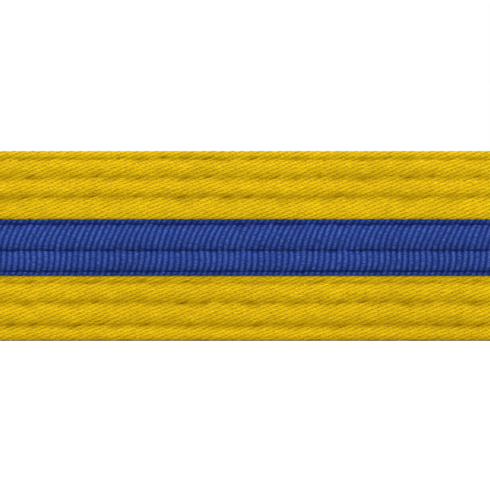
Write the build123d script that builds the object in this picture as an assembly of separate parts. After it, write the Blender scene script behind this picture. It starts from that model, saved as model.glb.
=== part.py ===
from build123d import *
from math import pi
import os

# A quilted grade belt, 40 mm wide: a twill cover folded round four plies of plain cloth, a stripe of
# grosgrain ribbon along the middle of each face, and nine rows of lockstitch along the whole length.
# It stands on its lower edge, wound into a neat roll, with its outer end left straight along +X.
# Its front face looks outward on the roll, and towards -Y on the straight end.
# Offsets are measured from the belt's middle line, positive towards the front face.

# The belt
beltLength = 2800.0
beltWidth = 40.0
clothThick = 0.6
plyThick = 0.6
plyCount = 4
hemDepth = 8.0          # how far the cover's two long edges are turned in at the top
ribbonWidth = 12.0
ribbonThick = 0.45
ribbonDepth = 14.3      # from the belt's top edge down to the stripe

# The stitching: nine rows along the belt, each measured down from its top edge
rowDepths = [1.6, 5.6, 9.7, 15.45, 20.9, 25.3, 27.6, 31.9, 36.6]
threadWide = 0.5
threadDeep = 0.25
endRowInset = 4.0       # from each end of the belt to the row across it
endRowMargin = 1.6      # from the belt's edges to the ends of that row

# The roll
innerRadius = 9.0
turnGap = 0.4           # between one turn's ribbon and the next
halfTurns = 23

faceAt = plyCount * plyThick / 2 + clothThick   # offset of the cover's face
ribbonFaceAt = faceAt + ribbonThick             # offset of the ribbon's face
turnPitch = 2 * ribbonFaceAt + turnGap
ribbonHigh = beltWidth - ribbonDepth
ribbonLow = ribbonHigh - ribbonWidth

# The middle line is half circles that grow by half a pitch each, then the straight end. Left halves
# turn about (0, 0), and right halves about (0, turnPitch / 2), before the belt is centred.
radii = [innerRadius + k * turnPitch / 2 for k in range(halfTurns)]
outerRadius = radii[-1]
rolledLength = pi * sum(radii)
tailLength = beltLength - rolledLength
leftmost = -(outerRadius + ribbonFaceAt)
centring = Pos(-(leftmost + tailLength) / 2, 0, 0)


def sideLine(offset, start, end):
    """The belt's line at one offset, from one length along the middle line to another."""
    edges = []
    passed = 0.0
    for k, radius in enumerate(radii):
        onLeft = k % 2 == 0
        centre = (0, 0) if onLeft else (0, turnPitch / 2)
        firstAngle = 90 if onLeft else -90
        arcLength = pi * radius
        low = max(start - passed, 0)
        high = min(end - passed, arcLength)
        if high > low:
            edges.append(
                CenterArc(
                    centre,
                    radius + offset,
                    firstAngle + 180 * low / arcLength,
                    180 * (high - low) / arcLength,
                )
            )
        passed += arcLength
    if end > passed:
        y = -(outerRadius + offset)
        edges.append(Line((max(start - passed, 0), y), (end - passed, y)))
    return edges


def band(inner, outer, low, high, start=0.0, end=beltLength):
    """A strip of the belt between two offsets, two heights and two lengths along it."""
    outside = sideLine(outer, start, end)
    inside = sideLine(inner, start, end)
    caps = [
        Line(outside[-1] @ 1, inside[-1] @ 1),
        Line(inside[0] @ 0, outside[0] @ 0),
    ]
    outline = make_face(outside + inside + caps)
    return centring * Pos(0, 0, low) * extrude(outline, high - low, dir=(0, 0, 1))


def faceStrip(face, surface, low, high, start, end):
    """A thread's strip, let into the front (1) or the back (-1) below a surface at that offset."""
    offsets = sorted([face * surface, face * (surface - threadDeep)])
    return band(*offsets, low, high, start, end)


def corePly(number):
    """One ply of the core. The outermost two stop under the turned-in edges of the cover."""
    inner = (number - 1 - plyCount / 2) * plyThick
    isOutermost = number in (1, plyCount)
    top = beltWidth - clothThick - (hemDepth if isOutermost else 0)
    return band(inner, inner + plyThick, clothThick, top, clothThick, beltLength - clothThick)


def rowThread(face, depth):
    """One row along the belt, between the two rows across its ends."""
    height = beltWidth - depth
    onRibbon = ribbonLow < height < ribbonHigh
    surface = ribbonFaceAt if onRibbon else faceAt
    reach = endRowInset + threadWide / 2
    return faceStrip(
        face,
        surface,
        height - threadWide / 2,
        height + threadWide / 2,
        reach,
        beltLength - reach,
    )


def endThread(face, along):
    """The row across one end, which climbs over the ribbon and down again."""
    start = along - threadWide / 2
    end = along + threadWide / 2
    low = endRowMargin
    high = beltWidth - endRowMargin
    lowerRun = faceStrip(face, faceAt, low, ribbonLow, start, end)
    upperRun = faceStrip(face, faceAt, ribbonHigh, high, start, end)
    overRibbon = faceStrip(face, ribbonFaceAt, ribbonLow, ribbonHigh, start, end)
    climb = sorted([face * (faceAt - threadDeep), face * ribbonFaceAt])
    lowerClimb = band(*climb, ribbonLow - threadWide, ribbonLow, start, end)
    upperClimb = band(*climb, ribbonHigh, ribbonHigh + threadWide, start, end)
    return lowerRun + upperRun + overRibbon + lowerClimb + upperClimb


plies = {f"core_ply_{n}": corePly(n) for n in range(1, plyCount + 1)}

threads = {}
for number, depth in enumerate(rowDepths, start=1):
    threads[f"needle_thread_{number}"] = rowThread(1, depth)
    threads[f"bobbin_thread_{number}"] = rowThread(-1, depth)
for place, along in (("inner_end", endRowInset), ("tail_end", beltLength - endRowInset)):
    threads[f"{place}_needle_thread"] = endThread(1, along)
    threads[f"{place}_bobbin_thread"] = endThread(-1, along)

# The cover closes round the plies, with its hems between the outermost plies' tops and the fold
cover = band(-faceAt, faceAt, 0, beltWidth)
for piece in [*plies.values(), *threads.values()]:
    cover = cover - piece

ribbons = {
    "ribbon_front": band(faceAt, ribbonFaceAt, ribbonLow, ribbonHigh),
    "ribbon_back": band(-ribbonFaceAt, -faceAt, ribbonLow, ribbonHigh),
}
for name in ribbons:
    for piece in threads.values():
        ribbons[name] = ribbons[name] - piece

os.makedirs("parts", exist_ok=True)
for name, piece in {"cover": cover, **plies, **ribbons, **threads}.items():
    export_step(piece, f"parts/{name}.step")

print("turn pitch", round(turnPitch, 3), "outer radius", round(outerRadius + ribbonFaceAt, 2))
print("rolled length", round(rolledLength, 1), "straight end", round(tailLength, 1))
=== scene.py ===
import math
import bmesh
import bpy
import numpy as np
from mathutils import Matrix, Vector


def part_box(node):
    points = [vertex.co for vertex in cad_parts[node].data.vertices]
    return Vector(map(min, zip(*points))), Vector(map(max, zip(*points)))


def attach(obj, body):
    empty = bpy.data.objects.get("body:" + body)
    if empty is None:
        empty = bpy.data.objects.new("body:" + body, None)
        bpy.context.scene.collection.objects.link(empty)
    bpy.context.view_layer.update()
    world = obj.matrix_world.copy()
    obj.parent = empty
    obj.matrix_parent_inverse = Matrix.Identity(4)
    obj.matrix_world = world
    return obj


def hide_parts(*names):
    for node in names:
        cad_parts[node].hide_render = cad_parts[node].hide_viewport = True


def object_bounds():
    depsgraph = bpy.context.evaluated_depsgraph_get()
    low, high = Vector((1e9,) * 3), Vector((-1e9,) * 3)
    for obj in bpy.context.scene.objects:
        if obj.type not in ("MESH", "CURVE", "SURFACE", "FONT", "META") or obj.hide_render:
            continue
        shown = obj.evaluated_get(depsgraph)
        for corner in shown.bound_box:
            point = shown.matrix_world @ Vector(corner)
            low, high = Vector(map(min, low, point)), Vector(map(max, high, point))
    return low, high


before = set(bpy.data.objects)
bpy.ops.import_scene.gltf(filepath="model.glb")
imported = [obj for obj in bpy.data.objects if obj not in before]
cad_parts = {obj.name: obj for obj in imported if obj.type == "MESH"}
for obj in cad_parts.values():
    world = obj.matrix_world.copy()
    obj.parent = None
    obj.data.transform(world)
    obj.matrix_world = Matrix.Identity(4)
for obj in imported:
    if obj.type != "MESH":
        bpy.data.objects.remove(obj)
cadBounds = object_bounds()
mm = 0.001
print("frame loaded")

# The belt as it lies in the frame: half circles that grow by half a pitch, then a straight end
belt = {
    "length": 2800 * mm,
    "width": 40 * mm,
    "innerRadius": 9 * mm,
    "turnPitch": 4.9 * mm,
    "halfTurns": 23,
    "fineLength": 600 * mm,     # the outermost turn and the straight end, modelled finely
    "fineFade": 20 * mm,
    "rowDepths": [1.6, 5.6, 9.7, 15.45, 20.9, 25.3, 27.6, 31.9, 36.6],     # mm from the top edge
    "ribbonRows": (4, 5, 6),
    "repeat": 94 * mm,      # the unevenness of the stitching repeats, after this many stitches
    "stitches": 20,
    "ribbonStitches": 22,   # of the three rows that hold the ribbon, sewn on afterwards
    "rowWander": 0.13 * mm,
    "wanderWaves": (9.3 * mm, 4.1 * mm, 3.2 * mm),      # two lengths along the belt, and a height
    # how freely each height wanders: not at all at the edges and where the ribbon holds it straight
    "wanders": [(0, 0), (3, 1), (10.5, 1), (13.5, 0), (26, 0), (29, 1), (37, 1), (40, 0)],
    "endRowInset": 4 * mm,
    "endRowMargin": 1.6 * mm,
    "innerTurn": (8 * mm, 110 * mm),    # the lengths that show in the roll's eye
    "innerStep": 1 * mm,
    "closest": 0.1 * mm,    # how close two rings or two heights may lie
    "endSteps": (2.0 * mm, 7.9 * mm, 0.3 * mm),     # rings near an end: first, last and spacing
}
radii = belt["innerRadius"] + np.arange(belt["halfTurns"]) * belt["turnPitch"] / 2
arcEnds = np.concatenate([[0.0], np.cumsum(math.pi * radii)])
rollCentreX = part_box("cover")[1].x - (belt["length"] - arcEnds[-1])
rowUps = np.sort(belt["width"] - np.array(belt["rowDepths"]) * mm)
rng = np.random.default_rng(7)
rowPhases = rng.random(len(rowUps))
rowNumbers = np.arange(len(rowUps), 0, -1)
rowCounts = np.where(np.isin(rowNumbers, belt["ribbonRows"]), belt["ribbonStitches"], belt["stitches"])
rowPitches = belt["repeat"] / rowCounts


# A place on the belt, from lengths along it, up its width and out from its middle
def layOnBelt(along, up, out):
    longWave, shortWave, upWave = belt["wanderWaves"]
    waves = np.sin(along / longWave) + np.sin(along / shortWave + up / upWave)
    heights, shares = np.array(belt["wanders"]).T
    up = up + belt["rowWander"] * np.interp(up / mm, heights, shares) * waves / 2
    last = belt["halfTurns"] - 1
    turn = np.clip(np.searchsorted(arcEnds, along, side="right") - 1, 0, last)
    onTail = along > arcEnds[-1]
    onLeft = turn % 2 == 0
    angle = np.where(onLeft, math.pi / 2, -math.pi / 2) + (along - arcEnds[turn]) / radii[turn]
    reach = radii[turn] + out
    centreY = np.where(onLeft, 0.0, belt["turnPitch"] / 2)
    x = np.where(onTail, along - arcEnds[-1], reach * np.cos(angle))
    y = np.where(onTail, -radii[-1] - out, reach * np.sin(angle) + centreY)
    return np.stack([x + rollCentreX, y, up], axis=1)


# How the rows of stitches pull the padding into channels
quilt = {
    "valleyAt": 1.24 * mm,      # from the belt's middle to the cloth beside a row
    "bulge": 0.60 * mm,
    "fullChannel": 4.2 * mm,
    # of each channel, from the fold up: how full it is, and how late below its upper row it swells
    "fullness": [1.45, 1.0, 1.0, 0.55, 1.0, 1.0, 1.0, 1.0, 1.0, 0.6],
    "lateness": [1.0, 1.2, 1.1, 1.0, 1.0, 1.0, 1.2, 1.34, 1.0, 1.0],
    # slope of a channel from its upper row, 0, to its lower row, 1: full just below the middle
    "slopes": [
        (0.0, -1.1),
        (0.08, -0.5),
        (0.19, 1.0),
        (0.36, 0.45),
        (0.6, -0.25),
        (0.95, -0.8),
        (1.0, -1.1),
    ],
    "creaseDepth": 0.11 * mm,
    "creaseHalf": 0.24 * mm,
    "rowShares": [0.8, 0.55, 0.1, 1.0, 1.0, 1.0, 0.55, 0.2, 0.1],       # of it, from the lowest row
    "holeDepth": 0.24 * mm,
    "holeLong": 1.05 * mm,
    "holeHigh": 0.26 * mm,
    "holeSlant": math.radians(24),
    "creaseReach": 1.6 * mm,        # beyond this a row leaves the cloth alone
    "creaseMask": 0.25,             # how much of a crease counts as pinched cloth: in the ribs' flattening, and in the materials' painted crease shade
    "leastDrawn": 0.15,             # how hard the loosest stitch is drawn in
    "rippleHeight": 0.05 * mm,
    # mm along and across for each wave of the padding, and its phase
    "rippleWaves": [(5.3, 21, 0.4), (7.9, -17, 2.2), (11.7, 30, 4.1), (4.3, -26, 5.3), (17.0, 13, 1.2)],
    "rippleShifts": (2.3, 1.9),     # of the phase, from channel to channel and on the back
    "bottomRound": 1.7 * mm,
    "topRound": 1.2 * mm,
    "endRound": 1.5 * mm,
}
slopeAt, slopes = np.array(quilt["slopes"]).T
downChannel = np.linspace(0, 1, 101)
rises = np.cumsum(np.interp(downChannel, slopeAt, slopes))
rises = rises - rises[0] - (rises[-1] - rises[0]) * downChannel
rises = rises / rises.max()


# The height of the padded cloth at a height up the belt, and which channel that is in
def channelLevel(up):
    stops = np.concatenate([[-rowUps[0]], rowUps, [2 * belt["width"] - rowUps[-1]]])
    channel = np.clip(np.searchsorted(stops, up, side="right") - 1, 0, len(stops) - 2)
    wide = stops[channel + 1] - stops[channel]
    fromTop = (stops[channel + 1] - up) / wide
    narrowness = np.sqrt(np.minimum(1, wide / quilt["fullChannel"]))
    bulge = quilt["bulge"] * narrowness * np.array(quilt["fullness"])[channel]
    swell = np.clip(fromTop, 0, 1) ** np.array(quilt["lateness"])[channel]
    return quilt["valleyAt"] + bulge * np.interp(swell, downChannel, rises), channel


# Soft unevenness of the padding: a few slanting waves, shifted from channel to channel
def ripple(along, up, channel, side):
    channelShift, backShift = quilt["rippleShifts"]
    shift = channel * channelShift + (side < 0) * backShift
    total = 0
    for longWave, acrossWave, phase in quilt["rippleWaves"]:
        turns = along / (longWave * mm) + up / (acrossWave * mm)
        total = total + np.sin(2 * math.pi * turns + phase + shift * (1 + phase / 5))
    return quilt["rippleHeight"] * total / 2


# From 0 to 1, how hard each stitch of a row is drawn in: the usual sine hash of its number
def drawnIn(turns, row):
    mixed = np.sin(np.mod(np.floor(turns), rowCounts[row]) * 12.9898 + row * 78.233) * 43758.5453
    least = quilt["leastDrawn"]
    return least + (1 - least) * (mixed - np.floor(mixed)) ** 1.5


# How far a point is from the needle hole it is nearest to, along its row
def besideHole(turns, row):
    return (turns - np.floor(turns) - 0.5) * rowPitches[row]


# The puckers between the stitches are simulated: a length of the cover's cloth, sewn down along its
# rows, is let out a little over the padding. Its unevenness then repeats along the belt.
patch = {
    "margin": 9 * mm,
    "fade": 8 * mm,
    "step": 0.5 * mm,
    "scale": 40.0,          # the cloth is simulated this much larger
    "frames": 22,
    "slack": 0.015,
    "pressure": 1.5,
    "tension": 20.0,
    "bending": 60.0,
    "tug": 0.27 * mm,       # how far a stitch draws the cloth down at its hole
    "tugHalf": 0.9 * mm,
    # first unevenness that the cloth starts from: mm along and across for each wave, and its phase
    "seeds": [(5.3, 21, 0.4), (7.9, -17, 2.2), (4.3, -26, 5.3)],
    "seedShift": 1.7,       # of the phase, from channel to channel
    "seedShare": 0.03,
    "height": 1.0,          # of the puckers, and the same where the ribbon lies over them
    "underRibbon": 0.35,
    "ribbonLies": [(13, 0), (14.5, 1), (25, 1), (26.5, 0)],     # mm up the belt, and how fully
    "mass": 0.3,
    "quality": 5,
}
lineCount = round(belt["width"] / patch["step"])
lineUps = np.arange(lineCount + 1) * patch["step"]
rowLines = np.rint(rowUps / patch["step"]).astype(int)
lineUps[rowLines] = rowUps


def simulateCloth(piece, pinned):
    group = piece.vertex_groups.new(name="sewn")
    group.add([int(number) for number in np.nonzero(pinned)[0]], 1.0, "REPLACE")
    cloth = piece.modifiers.new("cloth", "CLOTH")
    settings = cloth.settings
    settings.quality = patch["quality"]
    settings.mass = patch["mass"]
    settings.tension_stiffness = patch["tension"]
    settings.compression_stiffness = patch["tension"]
    settings.shear_stiffness = patch["tension"] / 3
    settings.bending_stiffness = patch["bending"]
    settings.use_pressure = True
    settings.uniform_pressure_force = patch["pressure"]
    settings.shrink_min = -patch["slack"]
    settings.vertex_group_mass = "sewn"
    settings.effector_weights.gravity = 0
    cloth.collision_settings.use_collision = False
    cloth.point_cache.frame_start = 1
    cloth.point_cache.frame_end = patch["frames"]
    for step in range(1, patch["frames"] + 1):
        bpy.context.scene.frame_set(step)
    settled = piece.evaluated_get(bpy.context.evaluated_depsgraph_get())
    places = np.empty(len(piece.data.vertices) * 3)
    settled.data.vertices.foreach_get("co", places)
    bpy.context.scene.frame_set(1)
    return places.reshape(-1, 3)


def makePuckers():
    columnCount = round((belt["repeat"] + 2 * patch["margin"]) / patch["step"])
    bm = bmesh.new()
    bmesh.ops.create_grid(bm, x_segments=columnCount, y_segments=lineCount, size=0.5)
    mesh = bpy.data.meshes.new("quiltPatch")
    bm.to_mesh(mesh)
    bm.free()
    flat = np.empty(len(mesh.vertices) * 3)
    mesh.vertices.foreach_get("co", flat)
    flat = flat.reshape(-1, 3)
    column = np.rint((flat[:, 0] + 0.5) * columnCount).astype(int)
    line = np.rint((flat[:, 1] + 0.5) * lineCount).astype(int)
    along, up = column * patch["step"] - patch["margin"], lineUps[line]
    level, channel = channelLevel(up)
    seed = 0
    for longWave, acrossWave, phase in patch["seeds"]:
        turns = along / (longWave * mm) + up / (acrossWave * mm)
        seed = seed + np.sin(2 * math.pi * turns + phase + patch["seedShift"] * channel)
    out = (level - quilt["valleyAt"]) * (1 + patch["seedShare"] * seed)
    pinned = (line == 0) | (line == lineCount) | (column == 0) | (column == columnCount)
    for row, rowLine in enumerate(rowLines):
        turns = along / rowPitches[row] + rowPhases[row]
        near = np.exp(-((besideHole(turns, row) / patch["tugHalf"]) ** 2))
        out = np.where(line == rowLine, -patch["tug"] * drawnIn(turns, row) * near, out)
        pinned = pinned | (line == rowLine)
    mesh.vertices.foreach_set("co", (np.stack([along, up, out], axis=1) * patch["scale"]).ravel())
    piece = bpy.data.objects.new("quiltPatch", mesh)
    bpy.context.scene.collection.objects.link(piece)
    heights = np.empty((columnCount + 1, lineCount + 1))
    heights[column, line] = simulateCloth(piece, pinned)[:, 2] / patch["scale"]
    bpy.data.objects.remove(piece)
    bpy.data.meshes.remove(mesh)
    heights -= heights.mean(axis=0)
    first, count = round(patch["margin"] / patch["step"]), round(belt["repeat"] / patch["step"])
    share = np.clip(np.arange(count) * patch["step"] / patch["fade"], 0, 1)[:, None]
    ending = np.zeros((count, lineCount + 1))
    ending[:first] = heights[first + count:][:first]
    return heights[first:first + count] * share + ending * (1 - share)


puckers = makePuckers()
print("puckers simulated, highest", round(puckers.max() / mm, 2), "mm")


def puckersAt(along, up):
    place = np.mod(along, belt["repeat"]) / belt["repeat"] * len(puckers)
    column = np.floor(place).astype(int) % len(puckers)
    following = (column + 1) % len(puckers)
    lines = np.interp(up, lineUps, np.arange(lineCount + 1))
    line = np.minimum(np.floor(lines).astype(int), lineCount - 1)
    beside, above = place - np.floor(place), lines - line
    lower = puckers[column, line] * (1 - beside) + puckers[following, line] * beside
    upper = puckers[column, line + 1] * (1 - beside) + puckers[following, line + 1] * beside
    heights, shares = np.array(patch["ribbonLies"]).T
    overRibbon = np.interp(up / mm, heights, shares)
    height = patch["height"] * (1 - overRibbon * (1 - patch["underRibbon"]))
    return height * (lower * (1 - above) + upper * above)


# From 0 inside the roll to 1 on the outermost turn and the straight end, which are modelled finely
def fineShare(along):
    return np.clip((along - belt["length"] + belt["fineLength"]) / belt["fineFade"], 0, 1)


# How much of a crease and how much of a needle hole there is at a point, each from 0 to 1
def pinch(along, up):
    q = quilt
    inset = belt["endRowInset"]
    fine = fineShare(along)
    within = (along > inset) & (along < belt["length"] - inset)
    crease = np.zeros_like(along)
    hole = np.zeros_like(along)
    for row, rowUp in enumerate(rowUps):
        off = up - rowUp
        near = within & (np.abs(off) < q["creaseReach"])
        drawn = q["rowShares"][row] * np.exp(-((off / q["creaseHalf"]) ** 2))
        crease = np.maximum(crease, near * drawn)
        turns = along / rowPitches[row] + rowPhases[row]
        beside = besideHole(turns, row)
        longWay = beside * math.cos(q["holeSlant"]) + off * math.sin(q["holeSlant"])
        highWay = off * math.cos(q["holeSlant"]) - beside * math.sin(q["holeSlant"])
        dent = np.exp(-((longWay / q["holeLong"]) ** 2) - (highWay / q["holeHigh"]) ** 2)
        hole = np.maximum(hole, near * fine * drawnIn(turns, row) * dent)
    inRow = (up > belt["endRowMargin"]) & (up < belt["width"] - belt["endRowMargin"])
    for rowAt in (inset, belt["length"] - inset):
        off = (along - rowAt) / q["creaseHalf"]
        crease = np.maximum(crease, inRow * np.exp(-(off ** 2)))
    return crease, hole


# The height of the cloth's face above the belt's middle, and from 0 to 1 how pinched it is there
def coverFace(along, up, side, withHoles=True, withPuckers=True):
    q = quilt
    level, channel = channelLevel(up)
    crease, hole = pinch(along, up)
    level = level + ripple(along, up, channel, side) * (1 - crease)
    if withPuckers:
        level = level + puckersAt(along, up) * fineShare(along)
    level = level - q["creaseDepth"] * crease - q["holeDepth"] * hole * withHoles
    fromEdge = np.clip(up / q["bottomRound"], 0, 1)
    fromTop = np.clip((belt["width"] - up) / q["topRound"], 0, 1)
    fromEnd = np.clip(np.minimum(along, belt["length"] - along) / q["endRound"], 0, 1)
    for share in (fromEdge, fromTop, fromEnd):
        level = level * np.sqrt(np.clip(1 - (1 - share) ** 2, 0, 1))
    return level, np.clip(crease * q["creaseMask"] + hole, 0, 1)


# Lengths along the belt where a piece has a ring of points: close on the outermost turn and the
# straight end, wide inside the roll, and closer again where either end is rounded off
def columnStops(fineStops, coarseStep):
    firstFine = fineStops[0]
    innerFrom, innerTo = belt["innerTurn"]
    innerTurn = np.arange(innerFrom, innerTo, belt["innerStep"])
    hidden = np.arange(innerTo, firstFine - coarseStep / 2, coarseStep)
    ending = quilt["endRound"] * (1 - np.cos(np.radians(np.arange(0, 91, 15))))
    ending = np.concatenate([ending, np.arange(*belt["endSteps"])])
    fine = fineStops[(fineStops < belt["length"] - ending[-1] - belt["closest"])]
    return np.concatenate([ending, innerTurn, hidden, fine, (belt["length"] - ending)[::-1]])


weld = {"doubles": 0.004 * mm, "slivers": 0.001 * mm}       # points nearer than this are joined


# A closed tube of cloth round the belt: a grid whose columns are the stops along it and whose rows
# are the points of its section. shape gives each point's length along the belt, height and
# distance out, its u and v, and how pinched it is, the mask of the materials' painted shade.
def tubeOnBelt(name, stops, stationCount, shape, closeEnds):
    bm = bmesh.new()
    bmesh.ops.create_grid(bm, x_segments=len(stops) - 1, y_segments=stationCount, size=0.5)
    mesh = bpy.data.meshes.new(name)
    bm.to_mesh(mesh)
    bm.free()
    flat = np.empty(len(mesh.vertices) * 3)
    mesh.vertices.foreach_get("co", flat)
    flat = flat.reshape(-1, 3)
    column = np.rint((flat[:, 0] + 0.5) * (len(stops) - 1)).astype(int)
    station = np.rint((flat[:, 1] + 0.5) * stationCount).astype(int)
    along, up, out, u, v, mask = shape(stops[column], station)
    mesh.vertices.foreach_set("co", layOnBelt(along, up, out).ravel())
    layer = mesh.uv_layers.new(name="weave")
    corner = np.empty(len(mesh.loops), dtype=int)
    mesh.loops.foreach_get("vertex_index", corner)
    layer.data.foreach_set("uv", np.stack([u, v], axis=1)[corner].ravel())
    # how pinched each point is, kept for the materials' painted shade at creases and needle holes
    paintedShadeMask = mesh.attributes.new("pinch", "FLOAT", "POINT")
    paintedShadeMask.data.foreach_set("value", mask.astype(np.float32))
    bm = bmesh.new()
    bm.from_mesh(mesh)
    bmesh.ops.remove_doubles(bm, verts=bm.verts, dist=weld["doubles"])
    bmesh.ops.dissolve_degenerate(bm, edges=bm.edges, dist=weld["slivers"])
    if closeEnds:
        bmesh.ops.holes_fill(bm, edges=[e for e in bm.edges if e.is_boundary], sides=0)
    bmesh.ops.recalc_face_normals(bm, faces=bm.faces)
    for face in bm.faces:
        face.smooth = True
    bm.to_mesh(mesh)
    bm.free()
    piece = bpy.data.objects.new(name, mesh)
    bpy.context.scene.collection.objects.link(piece)
    return piece


def addPiece(piece, material, slot, *nodes):
    piece.data.materials.clear()
    piece.data.materials.append(material)
    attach(piece, "root")
    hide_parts(*nodes)
    return piece


# The ribbons: grosgrain whose ribs lean where the middle row has dragged the cloth
ribbon = {
    "low": 13.7 * mm,
    "width": 12 * mm,
    "thick": 0.45 * mm,
    "ribPitch": 1.26 * mm,
    "ribHeight": 0.17 * mm,
    "ribPoints": {0.0: 0.0, 0.2: 0.82, 0.5: 1.0, 0.8: 0.82},      # along a rib, and its height there
    "coarseStep": 3.2 * mm,
    "ribsFrom": 1.6 * mm,       # how far from an end the ribs begin
    "innerRibsTo": 7.9 * mm,    # and where they stop being modelled, inside the roll
    "smoothRise": 0.7,          # height of the ribbon's face where the ribs aren't modelled
    "edgeSteps": np.array([0.0, 0.05, 0.16, 0.4]) * mm,
    "upperDrag": 2.15 * mm,     # how far along the upper edge is dragged past the middle row
    "lowerDrag": 0.40 * mm,
    "lowerBow": 0.28 * mm,
    "dragBow": 0.55,            # how straight the dragged ribs are, from 0, bowed, to 1
    "leanFrom": (2 * mm, 10 * mm),      # the ends where the ribs begin to lean, and lean fully
    "wobble": 0.07 * mm,
    # mm along and across for each wave of the ribs' unevenness
    "wobbleWaves": [(6.1, 1.9), (2.7, -1.3)],
    "selvageRise": 0.45,        # of the ribs at the woven edges
    "pinchedFlat": 0.75,        # how much a stitch flattens the ribs under it
    "pinchedWide": 1.3,
    "edgeThick": 0.55,          # of the ribbon's thickness left at its very edges
    "endRound": 0.8 * mm,
    "endThin": 0.2,             # and at its cut ends
    "seatGap": 0.01 * mm,       # between the ribbon's underside and the cover
    "edgeRound": 0.25 * mm,
    "drawnDown": 0.12 * mm,     # how far the stitches draw its upper edge down
    "besideRow": np.array([-0.36, -0.14, 0.0, 0.14, 0.36]) * mm,
}
ribbonHigh = ribbon["low"] + ribbon["width"] - ribbon["drawnDown"]


# Helpers for shader trees: a new group with its sockets, a value or a link, and single nodes
def newGroup(name, inputs, outputs):
    tree = bpy.data.node_groups.new(name, "ShaderNodeTree")
    for label, kind, value in inputs:
        socket = tree.interface.new_socket(label, in_out="INPUT", socket_type=kind)
        if value is not None:
            socket.default_value = value
    for label, kind in outputs:
        tree.interface.new_socket(label, in_out="OUTPUT", socket_type=kind)
    return tree, tree.nodes.new("NodeGroupInput"), tree.nodes.new("NodeGroupOutput")


def plug(tree, value, socket):
    if isinstance(value, bpy.types.NodeSocket):
        tree.links.new(value, socket)
    else:
        socket.default_value = value


def calc(tree, operation, *values, clamp=False):
    node = tree.nodes.new("ShaderNodeMath")
    node.operation = operation
    node.use_clamp = clamp
    for value, socket in zip(values, node.inputs):
        plug(tree, value, socket)
    return node.outputs[0]


def remap(tree, value, low, high, newLow=0.0, newHigh=1.0, smooth=True):
    node = tree.nodes.new("ShaderNodeMapRange")
    node.interpolation_type = "SMOOTHSTEP" if smooth else "LINEAR"
    for given, socket in zip((value, low, high, newLow, newHigh), node.inputs):
        plug(tree, given, socket)
    return node.outputs[0]


def noiseOn(tree, vector, scale, detail=2.0, roughness=0.5):
    node = tree.nodes.new("ShaderNodeTexNoise")
    node.inputs["Scale"].default_value = scale
    node.inputs["Detail"].default_value = detail
    node.inputs["Roughness"].default_value = roughness
    tree.links.new(vector, node.inputs["Vector"])
    return node.outputs["Fac"]


def pairUp(tree, x, y):
    node = tree.nodes.new("ShaderNodeCombineXYZ")
    plug(tree, x, node.inputs[0])
    plug(tree, y, node.inputs[1])
    return node.outputs[0]


def tint(tree, colour, factor):
    node = tree.nodes.new("ShaderNodeVectorMath")
    node.operation = "SCALE"
    plug(tree, colour, node.inputs[0])
    plug(tree, factor, node.inputs["Scale"])
    return node.outputs[0]


twill = {
    "yarn": 0.293,          # mm from one warp yarn to the next
    "pick": 0.667,          # and from one pick to the next
    "slow": (0.45, 0.8),    # how quickly the yarns' wander changes along them and across
    "wander": 0.5,
    "quick": 2.3,           # and how quickly the picks' unevenness changes
    "jitter": 0.35,
    "dipWide": (0.70, 0.08),        # picks from the middle of a dip to where it begins, and is deepest
    "yarnRound": (0.62, 0.38),
    "patchSize": 1.1,       # of the places where the dips are faint or strong
    "patchHigh": 1.6,
    "patches": (0.3, 0.65, 0.3, 1.15),      # noise from and to, and how strong the dips are there
    "floatWide": (0.2, 1.2),        # picks from a dip's middle to where a float rises, and is full
    "streak": (0.3, 3.7),
}


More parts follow.
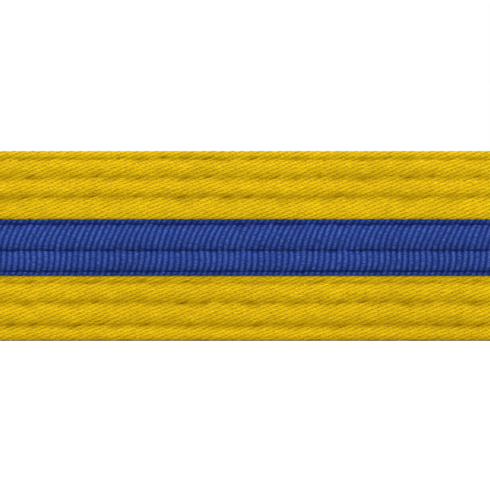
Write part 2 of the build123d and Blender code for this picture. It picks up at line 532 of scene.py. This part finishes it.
# A 2/1 twill: each warp yarn floats over two picks and dips under the third, one pick further on
# than the yarn below it, so that the dips line up as slanting furrows. U and V are in millimetres.
def makeTwillGroup():
    tree, given, made = newGroup(
        "twillWeave",
        [
            ("U", "NodeSocketFloat", 0.0),
            ("V", "NodeSocketFloat", 0.0),
            ("Yarn", "NodeSocketFloat", twill["yarn"]),
            ("Pick", "NodeSocketFloat", twill["pick"]),
        ],
        [("Height", "NodeSocketFloat"), ("Dip", "NodeSocketFloat"), ("Streak", "NodeSocketFloat")],
    )
    u, v = given.outputs["U"], given.outputs["V"]
    slow = pairUp(tree, *(calc(tree, "MULTIPLY", way, rate) for way, rate in zip((u, v), twill["slow"])))
    wander = calc(tree, "SUBTRACT", noiseOn(tree, slow, 1.0), 0.5)
    jitter = calc(tree, "SUBTRACT", noiseOn(tree, pairUp(tree, u, v), twill["quick"], 1.0), 0.5)
    wandered = calc(tree, "MULTIPLY_ADD", wander, twill["wander"], v)
    yarns = calc(tree, "DIVIDE", wandered, given.outputs["Yarn"])
    number = calc(tree, "FLOOR", yarns)
    acrossYarn = calc(tree, "SUBTRACT", calc(tree, "FRACT", yarns), 0.5)
    jittered = calc(tree, "MULTIPLY_ADD", jitter, twill["jitter"], u)
    picks = calc(tree, "DIVIDE", jittered, given.outputs["Pick"])
    cycle = calc(tree, "FRACT", calc(tree, "DIVIDE", calc(tree, "SUBTRACT", picks, number), 3.0))
    fromDip = calc(tree, "MULTIPLY", calc(tree, "ABSOLUTE", calc(tree, "SUBTRACT", cycle, 0.5)), 3.0)
    yarnRound = calc(tree, "COSINE", calc(tree, "MULTIPLY", acrossYarn, math.pi))
    rounded = calc(tree, "MULTIPLY_ADD", yarnRound, *twill["yarnRound"])
    dip = calc(tree, "MULTIPLY", remap(tree, fromDip, *twill["dipWide"]), rounded)
    patches = pairUp(tree, u, calc(tree, "MULTIPLY", v, twill["patchHigh"]))
    patchy = noiseOn(tree, patches, twill["patchSize"], 2.0, 0.7)
    dip = calc(tree, "MULTIPLY", dip, remap(tree, patchy, *twill["patches"]))
    floating = remap(tree, fromDip, *twill["floatWide"])
    height = calc(tree, "MULTIPLY", floating, calc(tree, "MULTIPLY_ADD", yarnRound, 0.5, 0.5))
    tree.links.new(calc(tree, "SUBTRACT", height, dip), made.inputs["Height"])
    tree.links.new(dip, made.inputs["Dip"])
    streaks = (calc(tree, "MULTIPLY", way, rate) for way, rate in zip((u, number), twill["streak"]))
    tree.links.new(noiseOn(tree, pairUp(tree, *streaks), 1.0, 1.0), made.inputs["Streak"])
    return tree


# Broad and fine unevenness of dyed cloth, in the piece's own space
def makeMottleGroup():
    tree, given, made = newGroup(
        "clothMottle",
        [
            ("Vector", "NodeSocketVector", None),
            ("Broad size", "NodeSocketFloat", 90.0),
            ("Fuzz size", "NodeSocketFloat", 2600.0),
        ],
        [("Broad", "NodeSocketFloat"), ("Fuzz", "NodeSocketFloat")],
    )
    for label, detail in (("Broad", 3.0), ("Fuzz", 2.0)):
        node = tree.nodes.new("ShaderNodeTexNoise")
        node.inputs["Detail"].default_value = detail
        tree.links.new(given.outputs["Vector"], node.inputs["Vector"])
        tree.links.new(given.outputs[f"{label} size"], node.inputs["Scale"])
        tree.links.new(node.outputs["Fac"], made.inputs[label])
    return tree


grosgrain = {
    "yarn": 0.19,           # mm from one warp yarn to the next
    "yarnRound": (0.4, 0.6),
    "streak": (1.3, 0.8),
}


# Ribs of grosgrain: U counts the ribs, and V is in millimetres across the ribbon
def makeRibGroup():
    tree, given, made = newGroup(
        "grosgrainRibs",
        [
            ("U", "NodeSocketFloat", 0.0),
            ("V", "NodeSocketFloat", 0.0),
            ("Yarn", "NodeSocketFloat", grosgrain["yarn"]),
        ],
        [("Ridge", "NodeSocketFloat"), ("Height", "NodeSocketFloat"), ("Streak", "NodeSocketFloat")],
    )
    cycle = calc(tree, "FRACT", given.outputs["U"])
    fromMiddle = calc(tree, "ABSOLUTE", calc(tree, "SUBTRACT", cycle, 0.5))
    ridge = remap(tree, fromMiddle, 0.5, 0.0)
    yarns = calc(tree, "DIVIDE", given.outputs["V"], given.outputs["Yarn"])
    odd = calc(tree, "MULTIPLY", calc(tree, "FLOOR", given.outputs["U"]), 0.5)
    acrossYarn = calc(tree, "SUBTRACT", calc(tree, "FRACT", calc(tree, "ADD", yarns, odd)), 0.5)
    yarnRound = calc(tree, "COSINE", calc(tree, "MULTIPLY", acrossYarn, math.pi))
    rounded = calc(tree, "MULTIPLY_ADD", yarnRound, *grosgrain["yarnRound"])
    height = calc(tree, "MULTIPLY", ridge, rounded)
    tree.links.new(ridge, made.inputs["Ridge"])
    tree.links.new(height, made.inputs["Height"])
    ways = zip((given.outputs["U"], yarns), grosgrain["streak"])
    streaks = (calc(tree, "MULTIPLY", way, rate) for way, rate in ways)
    tree.links.new(noiseOn(tree, pairUp(tree, *streaks), 1.0, 2.0), made.inputs["Streak"])
    return tree


twillGroup = makeTwillGroup()
mottleGroup = makeMottleGroup()
ribGroup = makeRibGroup()


def newMaterial(name, look):
    material = bpy.data.materials.new(name)
    material.use_nodes = True
    tree = material.node_tree
    shader = tree.nodes["Principled BSDF"]
    shader.inputs["Specular IOR Level"].default_value = look["specular"]
    place = tree.nodes.new("ShaderNodeTexCoord")
    mottle = tree.nodes.new("ShaderNodeGroup")
    mottle.node_tree = mottleGroup
    tree.links.new(place.outputs["Object"], mottle.inputs["Vector"])
    return material, tree, shader, mottle


def weaveUv(tree):
    node = tree.nodes.new("ShaderNodeUVMap")
    node.uv_map = "weave"
    split = tree.nodes.new("ShaderNodeSeparateXYZ")
    tree.links.new(node.outputs["UV"], split.inputs[0])
    return split.outputs[0], split.outputs[1]


# The mask of the painted shade at creases and needle holes
def creaseShadeMask(tree):
    node = tree.nodes.new("ShaderNodeAttribute")
    node.attribute_name = "pinch"
    return node.outputs["Fac"]


def bumpOn(tree, shader, height, distance):
    node = tree.nodes.new("ShaderNodeBump")
    node.inputs["Strength"].default_value = 1.0
    node.inputs["Distance"].default_value = distance
    tree.links.new(height, node.inputs["Height"])
    tree.links.new(node.outputs["Normal"], shader.inputs["Normal"])


# Strength of each shade, multiplied together: 1 leaves the colour as it is
def shadeBy(tree, *shades):
    total = 1.0
    for mask, atNone, atFull in shades:
        total = calc(tree, "MULTIPLY", total, remap(tree, mask, 0.0, 1.0, atNone, atFull, smooth=False))
    return total


twillLook = {
    "colour": (0.584, 0.373, 0.0019),
    "specular": 0.05,
    "roughness": (0.8, 0.95),
    "dip": 0.65,            # painted shade: how dark the dips between the yarns' floats are
    "float": (0.94, 1.08),  # and a painted highlight: how much lighter the top of a float is
    "streak": (0.82, 1.18),     # shades from yarn to yarn
    "broad": (0.88, 1.12),      # from place to place
    "fuzz": (0.64, 1.36),       # and from fibre to fibre
    "pinch": 0.68,          # painted shade: how dark the cloth is made at creases and needle holes
    "warmth": (1.0, 1.07, 1.2),     # red holds up better than green, and green than blue, in the dark, so the painted shade is warmed as by light bounced between the yellow fibres
    "bumpHeight": 0.11 * mm,
    "fuzzBump": 0.35,
}


def makeTwillMaterial():
    look = twillLook
    material, tree, shader, mottle = newMaterial("yellowTwill", look)
    weave = tree.nodes.new("ShaderNodeGroup")
    weave.node_tree = twillGroup
    for value, socket in zip(weaveUv(tree), weave.inputs):
        tree.links.new(value, socket)
    # painted shade in the dips and at creases and needle holes, a painted highlight on the floats, and the
    # cloth's own tone from yarn to yarn, place to place and fibre to fibre
    shade = shadeBy(
        tree,
        (weave.outputs["Dip"], 1.0, look["dip"]),
        (weave.outputs["Height"], *look["float"]),
        (weave.outputs["Streak"], *look["streak"]),
        (mottle.outputs["Broad"], *look["broad"]),
        (mottle.outputs["Fuzz"], *look["fuzz"]),
        (creaseShadeMask(tree), 1.0, look["pinch"]),
    )
    shades = tree.nodes.new("ShaderNodeCombineXYZ")
    for warmth, socket in zip(look["warmth"], shades.inputs):
        tree.links.new(calc(tree, "POWER", shade, warmth), socket)
    coloured = tree.nodes.new("ShaderNodeVectorMath")
    coloured.operation = "MULTIPLY"
    coloured.inputs[0].default_value = look["colour"]
    tree.links.new(shades.outputs[0], coloured.inputs[1])
    tree.links.new(coloured.outputs[0], shader.inputs["Base Color"])
    tree.links.new(remap(tree, weave.outputs["Dip"], 0, 1, *look["roughness"]), shader.inputs["Roughness"])
    fuzz = calc(tree, "MULTIPLY_ADD", mottle.outputs["Fuzz"], look["fuzzBump"], weave.outputs["Height"])
    bumpOn(tree, shader, fuzz, look["bumpHeight"])
    return material


grosgrainLook = {
    # the colour in the grooves, with painted shade, and on the ridges, with a painted sheen
    "groove": (0.0040, 0.0200, 0.150),
    "ridge": (0.049, 0.0885, 0.308),
    "specular": 0.05,
    "roughness": (0.8, 0.55),
    "fuzzSize": 3600.0,     # of the fibres' unevenness, per metre
    "fuzz": (0.0, 2.0),
    "broad": (0.75, 1.25),
    "streaks": (0.3, 0.66, 0.15, 1.1),      # from where to where they go, and the ridge's light there
    "selvage": 0.86,        # how dark the woven edges are
    "selvageAt": (4.8, 5.1),        # mm from the ribbon's middle to where they begin
    "selvageLit": 0.9,      # and how much of the ridges' light they keep
    "brink": (5.7, 6.0),    # mm to its very edges, where a painted shadow line darkens them
    "brinkPaintedShadow": 0.6,
    "lowerEdge": (14.1, 14.7),      # mm up the belt, where its lower selvage turns from the light
    "lowerShade": 0.84,
    # painted shade: how dark the ribbon is made at the stitch rows' creases and needle holes
    "pinch": 0.78,
    "bumpHeight": 0.07 * mm,
    "fuzzBump": 0.3,
}


def makeGrosgrainMaterial():
    look = grosgrainLook
    material, tree, shader, mottle = newMaterial("blueGrosgrain", look)
    mottle.inputs["Fuzz size"].default_value = look["fuzzSize"]
    ribs = tree.nodes.new("ShaderNodeGroup")
    ribs.node_tree = ribGroup
    u, v = weaveUv(tree)
    tree.links.new(u, ribs.inputs["U"])
    tree.links.new(v, ribs.inputs["V"])
    middle = (ribbon["low"] + ribbon["width"] / 2) / mm
    fromMiddle = calc(tree, "ABSOLUTE", calc(tree, "SUBTRACT", v, middle))
    selvage = remap(tree, fromMiddle, *look["selvageAt"])
    # a painted sheen on the ridges, streaked along them and dimmer on the selvages, over painted shade in
    # the grooves
    ridgeLightStreaks = remap(tree, ribs.outputs["Streak"], *look["streaks"])
    lit = calc(tree, "MULTIPLY", ribs.outputs["Ridge"], ridgeLightStreaks)
    lit = calc(tree, "MULTIPLY", lit, remap(tree, selvage, 0, 1, 1.0, look["selvageLit"]), clamp=True)
    blend = tree.nodes.new("ShaderNodeMix")
    blend.data_type = "RGBA"
    tree.links.new(lit, blend.inputs[0])
    blend.inputs[6].default_value = (*look["groove"], 1)
    blend.inputs[7].default_value = (*look["ridge"], 1)
    shade = shadeBy(
        tree,
        (mottle.outputs["Fuzz"], *look["fuzz"]),
        (mottle.outputs["Broad"], *look["broad"]),
        (selvage, 1.0, look["selvage"]),
        (remap(tree, fromMiddle, *look["brink"]), 1.0, look["brinkPaintedShadow"]),
        (remap(tree, v, *look["lowerEdge"]), look["lowerShade"], 1.0),
        (creaseShadeMask(tree), 1.0, look["pinch"]),
    )
    tree.links.new(tint(tree, blend.outputs[2], shade), shader.inputs["Base Color"])
    tree.links.new(remap(tree, ribs.outputs["Ridge"], 0, 1, *look["roughness"]), shader.inputs["Roughness"])
    rough = calc(tree, "MULTIPLY_ADD", mottle.outputs["Fuzz"], look["fuzzBump"], ribs.outputs["Height"])
    bumpOn(tree, shader, rough, look["bumpHeight"])
    return material


threadLooks = {
    "yellowThread": {"colour": (0.60, 0.36, 0.003), "specular": 0.06, "roughness": (0.6, 0.9)},
    "blueThread": {"colour": (0.0030, 0.017, 0.150), "specular": 0.05, "roughness": (0.5, 0.8)},
}
threadTwist = {"along": 5.0, "around": 2.0, "shades": (0.75, 1.05), "bumpHeight": 0.05 * mm}


# Two-ply thread: the twist runs round it as it goes along, with painted shade between the plies
def makeThreadMaterial(name):
    look = threadLooks[name]
    material, tree, shader, mottle = newMaterial(name, look)
    u, v = weaveUv(tree)
    alongTurns = calc(tree, "MULTIPLY", u, threadTwist["along"])
    aroundTurns = calc(tree, "MULTIPLY", v, threadTwist["around"])
    turns = calc(tree, "FRACT", calc(tree, "ADD", alongTurns, aroundTurns))
    ply = calc(tree, "SINE", calc(tree, "MULTIPLY", turns, math.pi))
    # painted shade between the plies and a faint painted highlight on their crowns, with the thread's own
    # fibre unevenness
    shade = shadeBy(tree, (ply, *threadTwist["shades"]), (mottle.outputs["Fuzz"], 0.9, 1.1))
    tree.links.new(tint(tree, look["colour"], shade), shader.inputs["Base Color"])
    tree.links.new(remap(tree, ply, 0, 1, *look["roughness"]), shader.inputs["Roughness"])
    bumpOn(tree, shader, ply, threadTwist["bumpHeight"])
    return material


coreLook = {
    "colour": (0.70, 0.66, 0.57),
    "specular": 0.05,
    "roughness": 0.9,
    "yarn": 1800.0,         # of the check's scale, per metre
    "distortion": 1.5,
    "bumpHeight": 0.05 * mm,
}


# Plain cloth, seen only if the belt is cut: a fine check of yarns in the piece's own space
def makeCoreMaterial():
    material, tree, shader, mottle = newMaterial("coreCotton", coreLook)
    wave = tree.nodes.new("ShaderNodeTexWave")
    wave.bands_direction = "Z"
    wave.inputs["Scale"].default_value = coreLook["yarn"]
    wave.inputs["Distortion"].default_value = coreLook["distortion"]
    place = tree.nodes.new("ShaderNodeTexCoord")
    tree.links.new(place.outputs["Object"], wave.inputs["Vector"])
    shade = shadeBy(tree, (wave.outputs["Fac"], 0.88, 1.0), (mottle.outputs["Broad"], 0.94, 1.06))
    tree.links.new(tint(tree, coreLook["colour"], shade), shader.inputs["Base Color"])
    shader.inputs["Roughness"].default_value = coreLook["roughness"]
    bumpOn(tree, shader, wave.outputs["Fac"], coreLook["bumpHeight"])
    return material


materials = {
    "twill": makeTwillMaterial(),
    "grosgrain": makeGrosgrainMaterial(),
    "yellowThread": makeThreadMaterial("yellowThread"),
    "blueThread": makeThreadMaterial("blueThread"),
    "core": makeCoreMaterial(),
}
print("materials made")

# The cover: the twill folded round the core, turned in and closed along its top edge
cover = {
    "step": 0.7 * mm,
    "coarseStep": 2.6 * mm,
    "besideRow": np.array([-0.95, -0.5, -0.24, -0.09, 0.09, 0.24, 0.5, 0.95]) * mm,
    "underRibbon": np.array([-0.4, 0.0, 0.4]) * mm,
    "acrossChannel": (0.35, 0.5, 0.65),     # shares of a channel where it has more lines of points
    "roundSteps": np.radians([14, 28, 42, 56, 70, 88]),
    "seam": [(-0.10 * mm, 0.20 * mm), (-0.50 * mm, 0.03 * mm)],      # up from the edge, and out
}


# The cover's section: height, which face, and how far out where it is on neither face
def coverStations():
    ups = []
    for row, rowUp in zip(rowNumbers, rowUps):
        besides = cover["underRibbon"] if row in belt["ribbonRows"] else cover["besideRow"]
        ups += list(rowUp + besides)
    stops = np.concatenate([[0], rowUps, [belt["width"]]])
    for low, high in zip(stops[:-1], stops[1:]):
        ups += [low + (high - low) * share for share in cover["acrossChannel"]]
    ups = np.array(ups)
    low, high = quilt["bottomRound"], belt["width"] - quilt["topRound"]
    ups = ups[(ups > low) & (ups < high)]
    rounds = 1 - np.cos(cover["roundSteps"])
    ups = np.sort(np.concatenate([ups, low * rounds, belt["width"] - quilt["topRound"] * rounds]))
    ups = ups[np.concatenate([[True], np.diff(ups) > belt["closest"]])]
    top = belt["width"]
    seam = [(top + up, out) for up, out in cover["seam"]]
    front = [(up, 1, 0.0) for up in ups] + [(up, 0, out) for up, out in seam]
    back = [(up, 0, -out) for up, out in seam[::-1]] + [(up, -1, 0.0) for up in ups[::-1]]
    return np.array([(0.0, 0, 0.0)] + front + back + [(0.0, 0, 0.0)])


def makeCover():
    stations = coverStations()
    fineFrom = belt["length"] - belt["fineLength"]
    stops = columnStops(np.arange(fineFrom, belt["length"], cover["step"]), cover["coarseStep"])
    nominal = channelLevel(stations[:, 0])[0] * stations[:, 1] + stations[:, 2]
    steps = np.hypot(np.diff(stations[:, 0]), np.diff(nominal))
    girth = np.concatenate([[0], np.cumsum(steps)])

    def shape(along, station):
        up, side, fixed = stations[station].T
        level, mask = coverFace(along, up, side)
        ending = np.clip(np.minimum(along, belt["length"] - along) / quilt["endRound"], 0, 1)
        closing = np.sqrt(1 - (1 - ending) ** 2)
        out = level * side + fixed * closing
        return along, up, out, along / mm, girth[station] / mm, mask * (side != 0)

    piece = tubeOnBelt("quiltedCover", stops, len(stations) - 1, shape, False)
    addPiece(piece, materials["twill"], "yellow_twill", "cover")
    return piece


coverPiece = makeCover()
print("cover made", len(coverPiece.data.polygons), "faces")


# The heights where a ribbon has a line of points, over its face and back under it
def ribbonStations():
    low, high = ribbon["low"], ribbonHigh
    rows = rowUps[(rowUps > low) & (rowUps < high)]
    ups = [*(low + ribbon["edgeSteps"]), *(high - ribbon["edgeSteps"])]
    for row in rows:
        ups += list(row + ribbon["besideRow"])
    for first, last in zip(rows[:-1], rows[1:]):
        ups += [first + (last - first) * share for share in (0.25, 0.5, 0.75)]
    under = sorted([low, *rows, *((rows[:-1] + rows[1:]) / 2), high], reverse=True)
    return np.array([(up, 1) for up in sorted(ups)] + [(up, 0) for up in under] + [(low, 1)])


# How far along the belt the ribs are dragged at a height
def lean(up, along):
    middle = rowUps[4]
    upper = np.clip((up - middle) / (rowUps[5] - middle), 0, 1.2)
    lower = np.clip((up - middle) / (middle - rowUps[3]), -1.2, 0)
    bow = ribbon["dragBow"]
    dragged = ribbon["upperDrag"] * upper * (bow + (1 - bow) * upper)
    wobble = sum(np.sin(along / (x * mm) + up / (z * mm)) for x, z in ribbon["wobbleWaves"])
    bowed = -ribbon["lowerBow"] * 4 * lower * (1 + lower)
    return dragged + ribbon["lowerDrag"] * lower + bowed + ribbon["wobble"] * wobble


def ribbonTop(along, up, side):
    level, mask = coverFace(along, up, side)
    low, high = ribbon["low"], ribbonHigh
    fromSelvage = np.clip(np.minimum(up - low, high - up) / ribbon["edgeRound"], 0, 1)
    edge = ribbon["edgeThick"]
    thick = ribbon["thick"] * (edge + (1 - edge) * np.sqrt(1 - (1 - fromSelvage) ** 2))
    return level, thick, mask


def makeRibbon(name, side, node):
    stations = ribbonStations()
    pitch = ribbon["ribPitch"]
    firstRib = math.ceil((belt["length"] - belt["fineLength"]) / pitch)
    lastRib = math.floor(belt["length"] / pitch)
    ribs = range(firstRib, lastRib)
    fineStops = np.array([(rib + part) * pitch for rib in ribs for part in ribbon["ribPoints"]])
    stops = columnStops(fineStops, ribbon["coarseStep"])
    partOf = sorted(ribbon["ribPoints"]) + [1.0]
    heightOf = [ribbon["ribPoints"][part % 1.0] for part in partOf]
    leanFrom, leanTo = ribbon["leanFrom"]

    def shape(stop, station):
        up, onTop = stations[station].T
        fromEnd = np.minimum(stop, belt["length"] - stop)
        leaning = np.clip((fromEnd - leanFrom) / (leanTo - leanFrom), 0, 1)
        along = stop + side * lean(up, stop) * leaning
        level, thick, mask = ribbonTop(along, up, side)
        ribbed = (stop > firstRib * pitch) | (fromEnd < ribbon["innerRibsTo"])
        ribbed = ribbed & (fromEnd > ribbon["ribsFrom"])
        ribRise = np.interp((stop / pitch) % 1.0, partOf, heightOf)
        rise = np.where(ribbed, ribRise, ribbon["smoothRise"])
        selvage = (up > rowUps[5]) | (up < rowUps[3])
        flattened = 1 - ribbon["pinchedFlat"] * np.clip(mask * ribbon["pinchedWide"], 0, 1)
        flattened = flattened * np.where(selvage, ribbon["selvageRise"], 1.0)
        grow = thick - ribbon["ribHeight"] * (1 - rise * flattened)
        closing = np.clip(fromEnd / ribbon["endRound"], 0, 1)
        thinned = ribbon["endThin"] + (1 - ribbon["endThin"]) * closing
        above = np.where(onTop > 0, grow * thinned, ribbon["seatGap"])
        out = side * (level + above)
        return along, up, out, stop / pitch, up / mm, mask

    piece = tubeOnBelt(name, stops, len(stations) - 1, shape, True)
    addPiece(piece, materials["grosgrain"], "blue_grosgrain", node)
    return piece


for name, side, node in (("stripeFront", 1, "ribbon_front"), ("stripeBack", -1, "ribbon_back")):
    piece = makeRibbon(name, side, node)
    print(name, "made", len(piece.data.polygons), "faces")

# The stitches: each is a short length of thread that dives into a needle hole at both ends
stitch = {
    "radius": 0.17 * mm,
    "flatness": 0.8,
    # how far its middle lies above the crease
    "rise": {"yellow": -0.13 * mm, "blue": 0.10 * mm, "across": 0.15 * mm},
    "dive": 0.42 * mm,      # how far its ends go down into the needle holes
    "endPitch": 3.55 * mm,
    "ribbonEdge": 0.2 * mm,     # over which a thread climbs on to the ribbon
    "ribSeat": 0.8,             # how much of the ribs' height a thread presses down
}


def stitchRow(name, count, pitch):
    bm = bmesh.new()
    bm.loops.layers.uv.new("weave")
    bmesh.ops.create_uvsphere(bm, u_segments=6, v_segments=5, radius=1.0, calc_uvs=True)
    bmesh.ops.rotate(bm, verts=bm.verts, matrix=Matrix.Rotation(math.pi / 2, 3, "Y"))
    thick = stitch["radius"]
    bmesh.ops.scale(bm, verts=bm.verts, vec=(pitch * 0.5, thick * stitch["flatness"], thick))
    mesh = bpy.data.meshes.new(name)
    bm.to_mesh(mesh)
    bm.free()
    piece = bpy.data.objects.new(name, mesh)
    bpy.context.scene.collection.objects.link(piece)
    repeat = piece.modifiers.new("stitches", "ARRAY")
    repeat.count = count
    repeat.use_relative_offset = False
    repeat.use_constant_offset = True
    repeat.constant_offset_displace = (pitch, 0, 0)
    whole = bpy.data.meshes.new_from_object(piece.evaluated_get(bpy.context.evaluated_depsgraph_get()))
    piece.modifiers.clear()
    piece.data = whole
    whole.name = name
    for polygon in whole.polygons:
        polygon.use_smooth = True
    flat = np.empty(len(whole.vertices) * 3)
    whole.vertices.foreach_get("co", flat)
    return piece, flat.reshape(-1, 3)


# The height of the surface that a thread lies on
def seatOf(along, up, side):
    level = coverFace(along, up, side, withHoles=False)[0]
    low, high = ribbon["low"], ribbonHigh
    edge = stitch["ribbonEdge"]
    overLow = np.clip((up - low + edge) / edge, 0, 1)
    underHigh = np.clip((high + edge - up) / edge, 0, 1)
    seat = ribbon["thick"] - ribbon["ribHeight"] * stitch["ribSeat"]
    return level + overLow * underHigh * seat


def layStitches(piece, flat, pitch, along, up, side, rise):
    number = np.rint(flat[:, 0] / pitch)
    fromMiddle = np.abs(flat[:, 0] / pitch - number) * 2
    out = seatOf(along, up, side) + stitch["rise"][rise] + flat[:, 1] - stitch["dive"] * fromMiddle ** 5
    piece.data.vertices.foreach_set("co", layOnBelt(along, up, out * side).ravel())
    if side < 0:
        piece.data.flip_normals()
    piece.data.update()


def makeRows():
    inset = belt["endRowInset"]
    for face, side in (("needle", 1), ("bobbin", -1)):
        for row, (rowUp, pitch, number) in enumerate(zip(rowUps, rowPitches, rowNumbers)):
            first = math.ceil(inset / pitch + rowPhases[row] + 0.5)
            last = math.floor((belt["length"] - inset) / pitch + rowPhases[row] - 0.5)
            piece, flat = stitchRow(f"{face}Row{number}", last - first + 1, pitch)
            along = flat[:, 0] + (first - rowPhases[row]) * pitch
            colour = "blue" if number in belt["ribbonRows"] else "yellow"
            layStitches(piece, flat, pitch, along, rowUp + flat[:, 2], side, colour)
            node = f"{face}_thread_{number}"
            addPiece(piece, materials[f"{colour}Thread"], f"{colour}_thread", node)


def makeEndRows():
    pitch, inset = stitch["endPitch"], belt["endRowInset"]
    margin = belt["endRowMargin"]
    count = round((belt["width"] - 2 * margin) / pitch)
    pitch = (belt["width"] - 2 * margin) / count
    for face, side in (("needle", 1), ("bobbin", -1)):
        for place, at in (("inner", inset), ("tail", belt["length"] - inset)):
            piece, flat = stitchRow(f"{place}End{face.capitalize()}Row", count, pitch)
            up = flat[:, 0] + margin + pitch / 2
            along = at - flat[:, 2]
            layStitches(piece, flat, pitch, along, up, side, "across")
            addPiece(piece, materials["yellowThread"], "yellow_thread", f"{place}_end_{face}_thread")


makeRows()
makeEndRows()
print("stitches made")

# The plies of the core: flat cloth between the faces, pinched together along each row
core = {
    "plies": 4,
    "shareOfFace": 0.50,        # how much of the belt's thickness the plies fill
    "low": 1.1 * mm,
    "high": 39.1 * mm,
    "outerHigh": 31.4 * mm,     # where the outermost plies stop, under the cover's turned-in edges
    "fromEnds": 1.6 * mm,
    "step": 3.5 * mm,
}


def makePly(number):
    isOutermost = number in (1, core["plies"])
    high = core["outerHigh"] if isOutermost else core["high"]
    middles = (rowUps[:-1] + rowUps[1:]) / 2
    ups = np.sort(np.concatenate([[core["low"]], rowUps, middles, [high]]))
    ups = ups[ups <= high]
    inner, outer = ((number + k) / core["plies"] * 2 - 1 for k in (-1, 0))
    stations = np.array([(up, outer) for up in ups] + [(up, inner) for up in ups[::-1]] + [(ups[0], outer)])
    stops = np.arange(core["fromEnds"], belt["length"] - core["fromEnds"], core["step"])

    def shape(along, station):
        up, layer = stations[station].T
        level, mask = coverFace(along, up, np.sign(layer), withHoles=False, withPuckers=False)
        out = level * core["shareOfFace"] * layer
        return along, up, out, along / mm, up / mm, mask

    name = f"corePly{number}"
    piece = tubeOnBelt(name, stops, len(stations) - 1, shape, True)
    addPiece(piece, materials["core"], "core_cotton", f"core_ply_{number}")


for number in range(1, core["plies"] + 1):
    makePly(number)
print("core made")

# The studio: a wide pale floor under a soft key from above and in front, with a fill behind
studio = {
    "floorRadius": 5.0,
    "floorColour": (0.93, 0.93, 0.93),
    "worldStrength": 0.30,
    "keyPlace": (0.06, -0.90, 1.35),
    "keySize": 0.8,
    "keyPower": 28.0,
    "fillPlace": (-0.2, 1.3, 0.9),
    "fillSize": 1.0,
    "fillPower": 16.0,
    "lens": 210.0,
    "viewWidth": 102.85 * mm,
    "viewMiddle": 61.4 * mm,
    "viewHeight": 20.17 * mm,
}


def makeFloor():
    bm = bmesh.new()
    bmesh.ops.create_circle(bm, cap_ends=True, segments=96, radius=studio["floorRadius"])
    mesh = bpy.data.meshes.new("floor")
    bm.to_mesh(mesh)
    bm.free()
    floor = bpy.data.objects.new("floor", mesh)
    bpy.context.scene.collection.objects.link(floor)
    material = bpy.data.materials.new("paleFloor")
    material.use_nodes = True
    shader = material.node_tree.nodes["Principled BSDF"]
    shader.inputs["Base Color"].default_value = (*studio["floorColour"], 1)
    shader.inputs["Roughness"].default_value = 1.0
    shader.inputs["Specular IOR Level"].default_value = 0.0
    mesh.materials.append(material)


def makeLight(name, place, size, power):
    data = bpy.data.lights.new(name, "AREA")
    data.shape = "DISK"
    data.size = size
    data.energy = power
    light = bpy.data.objects.new(name, data)
    bpy.context.scene.collection.objects.link(light)
    light.location = place
    towards = Vector((studio["viewMiddle"], -0.06, 0.02)) - Vector(place)
    light.rotation_euler = towards.to_track_quat("-Z", "Y").to_euler()


def makeWorld():
    world = bpy.data.worlds.new("softWorld")
    bpy.context.scene.world = world
    world.use_nodes = True
    tree = world.node_tree
    tree.nodes.clear()
    path = tree.nodes.new("ShaderNodeLightPath")
    mix = tree.nodes.new("ShaderNodeMixShader")
    made = tree.nodes.new("ShaderNodeOutputWorld")
    tree.links.new(path.outputs["Is Camera Ray"], mix.inputs[0])
    for socket, strength in ((mix.inputs[1], studio["worldStrength"]), (mix.inputs[2], 1.0)):
        light = tree.nodes.new("ShaderNodeBackground")
        light.inputs["Color"].default_value = (1, 1, 1, 1)
        light.inputs["Strength"].default_value = strength
        tree.links.new(light.outputs[0], socket)
    tree.links.new(mix.outputs[0], made.inputs["Surface"])


def makeCamera():
    data = bpy.data.cameras.new("camera")
    data.lens = studio["lens"]
    data.sensor_width = 36.0
    distance = studio["viewWidth"] * data.lens / data.sensor_width
    camera = bpy.data.objects.new("camera", data)
    bpy.context.scene.collection.objects.link(camera)
    face = cadBounds[0].y
    camera.location = (studio["viewMiddle"], face - distance, studio["viewHeight"])
    camera.rotation_euler = (math.pi / 2, 0, 0)
    bpy.context.scene.camera = camera


makeFloor()
makeLight("key", studio["keyPlace"], studio["keySize"], studio["keyPower"])
makeLight("fill", studio["fillPlace"], studio["fillSize"], studio["fillPower"])
makeWorld()
makeCamera()
bpy.context.scene.view_settings.view_transform = "Standard"
print("studio made")
